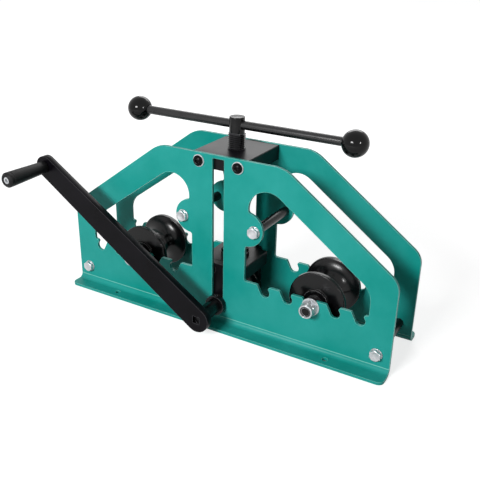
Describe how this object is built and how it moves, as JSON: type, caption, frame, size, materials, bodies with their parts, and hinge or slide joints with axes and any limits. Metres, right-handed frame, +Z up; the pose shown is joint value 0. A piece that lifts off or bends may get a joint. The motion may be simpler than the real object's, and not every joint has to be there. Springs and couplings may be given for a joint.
{
  "type": "ring roller",
  "caption": "Bench ring roller: notched side plates, free grooved rollers, and a cranked grooved roller in a yoke that a screw with a sliding bar presses down.",
  "frame": {"origin": "on the bench, at the middle of the foot bolt pattern, midway between the side plates", "axes": "+X along the side plates, +Y from the crank's side to the rear, +Z up"},
  "size_m": [0.6205, 0.2898, 0.35],
  "materials": {
    "teal_paint": "powder coat, satin",
    "black_steel": "black oxide, satin",
    "black_fastener": "black oxide, satin",
    "roller_black": "black paint, satin",
    "zinc": "bright zinc",
    "bronze": "turned",
    "key_steel": "ground",
    "insert_nylon": "moulded",
    "ball_gloss": "polished",
    "grip_plastic": "moulded"
  },
  "bodies": {
    "frame": {"front_plate": "teal_paint", "rear_plate": "teal_paint", "cross_block": "black_steel", "block_screws": "black_fastener", "block_washers": "zinc", "lower_spacer_left": "black_steel", "lower_spacer_right": "black_steel", "upper_spacer_left": "black_steel", "upper_spacer_right": "black_steel", "spacer_bolts": "zinc", "spacer_washers": "zinc", "spacer_nuts": "zinc", "left_axle": "black_steel", "right_axle": "black_steel", "left_sleeves": "black_steel", "right_sleeves": "black_steel", "axle_washers": "zinc", "axle_nuts": "zinc", "nut_inserts": "insert_nylon"},
    "left_roller": {"left_roller": "roller_black", "left_bushes": "bronze"},
    "right_roller": {"right_roller": "roller_black", "right_bushes": "bronze"},
    "yoke": {"press_block": "black_steel", "front_leg": "black_steel", "rear_leg": "black_steel", "leg_screws": "black_fastener", "front_bush": "bronze", "rear_bush": "bronze", "keeper_plates": "black_steel", "keeper_screws": "black_fastener"},
    "screw": {"press_screw": "black_steel"},
    "bar": {"turning_bar": "black_steel", "left_ball": "ball_gloss", "right_ball": "ball_gloss"},
    "drive": {"drive_shaft": "black_steel", "centre_roller": "roller_black", "roller_key": "key_steel", "front_collar": "black_steel", "rear_collar": "black_steel", "collar_screws": "black_fastener", "crank_arm": "black_steel", "crank_set_screw": "black_fastener", "handle_bolt": "zinc", "handle_nut": "zinc"},
    "grip": {"handle_grip": "grip_plastic"}
  },
  "joints": [
    {"name": "press_slide", "type": "slide", "parent": "frame", "child": "yoke", "axis": [0, 0, 1], "range_m": [0, 0.10795]},
    {"name": "screw_turn", "type": "hinge", "parent": "yoke", "child": "screw", "pos_m": [0, 0, 0.2], "axis": [0, 0, 1], "range_deg": [0, 12240]},
    {"name": "bar_slide", "type": "slide", "parent": "screw", "child": "bar", "axis": [1, 0, 0], "range_m": [-0.161, 0.155]},
    {"name": "crank_turn", "type": "hinge", "parent": "yoke", "child": "drive", "pos_m": [0, 0, 0.036], "axis": [0, 1, 0], "continuous": true},
    {"name": "grip_turn", "type": "hinge", "parent": "drive", "child": "grip", "pos_m": [-0.30248, -0.16, 0.23849], "axis": [0, 1, 0], "continuous": true},
    {"name": "left_roller_turn", "type": "hinge", "parent": "frame", "child": "left_roller", "pos_m": [-0.168, 0, 0.0805], "axis": [0, 1, 0], "continuous": true},
    {"name": "right_roller_turn", "type": "hinge", "parent": "frame", "child": "right_roller", "pos_m": [0.168, 0, 0.0805], "axis": [0, 1, 0], "continuous": true}
  ],
  "couplings": [
    {"joint": "press_slide", "follows": "screw_turn", "m_per_rad": 0.0005053}
  ]
}
